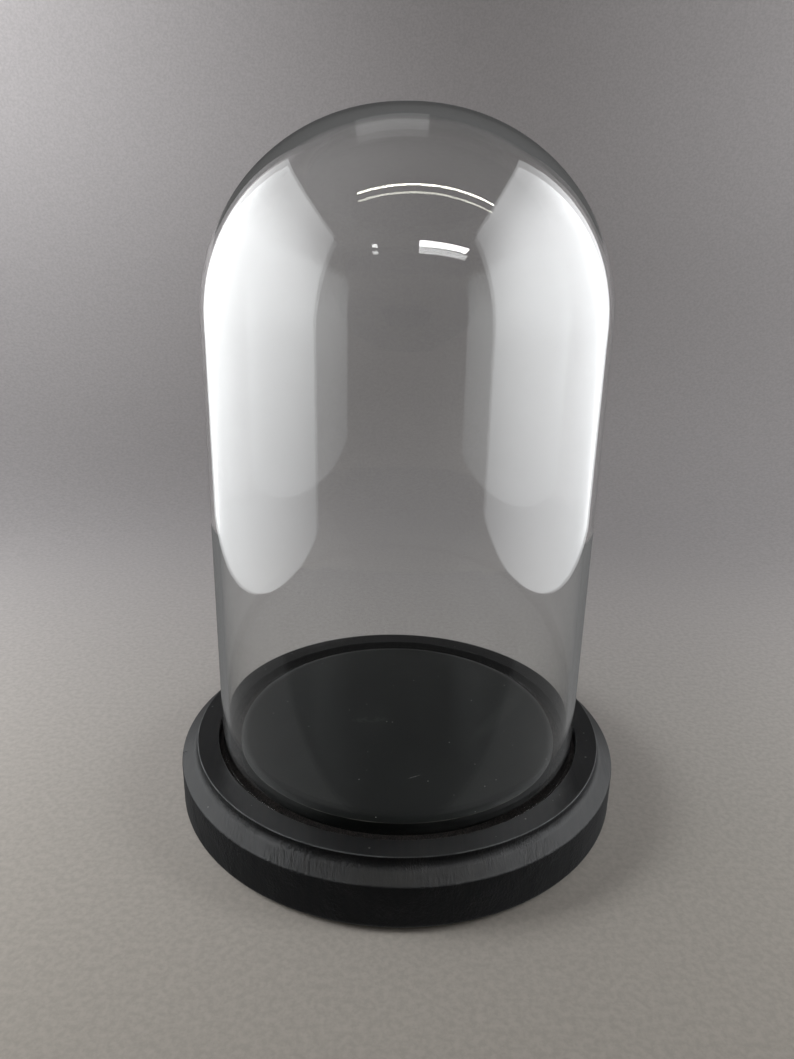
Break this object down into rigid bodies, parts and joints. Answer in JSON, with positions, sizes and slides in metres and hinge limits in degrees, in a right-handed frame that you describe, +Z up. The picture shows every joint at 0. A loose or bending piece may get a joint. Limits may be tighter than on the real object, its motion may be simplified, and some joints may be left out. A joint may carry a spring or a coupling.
{
  "type": "bell jar dome",
  "caption": "Clear glass display dome with a flattened crown, standing in the felt-lined groove of a round black painted wooden plinth with a raised display floor.",
  "frame": {"origin": "middle of the footprint, on the surface that the felt feet stand on", "axes": "+Z up along the turning axis of plinth and dome; X and Y lie in the surface, with the felt feet at 45 degrees to them"},
  "size_m": [0.1476, 0.1476, 0.2161],
  "materials": {
    "clear_glass": "clear, fire-polished, very faint grey-green edge",
    "satin_black_paint": "turned wood under satin black spray paint, slight grain showing",
    "smooth_black_lacquer": "smooth satin black lacquer with fine dust and light scuffs",
    "black_felt": "black fibrous felt with loose lint",
    "foot_felt": "pressed black felt"
  },
  "bodies": {
    "base": {"plinth": "satin_black_paint", "display_disc": "smooth_black_lacquer", "groove_felt": "black_felt", "felt_foot_1": "foot_felt", "felt_foot_2": "foot_felt", "felt_foot_3": "foot_felt", "felt_foot_4": "foot_felt"},
    "dome": {"glass_dome": "clear_glass"}
  },
  "joints": [
    {"name": "dome_lift", "type": "slide", "parent": "base", "child": "dome", "axis": [0, 0, 1], "range_m": [0, 0.2]}
  ]
}
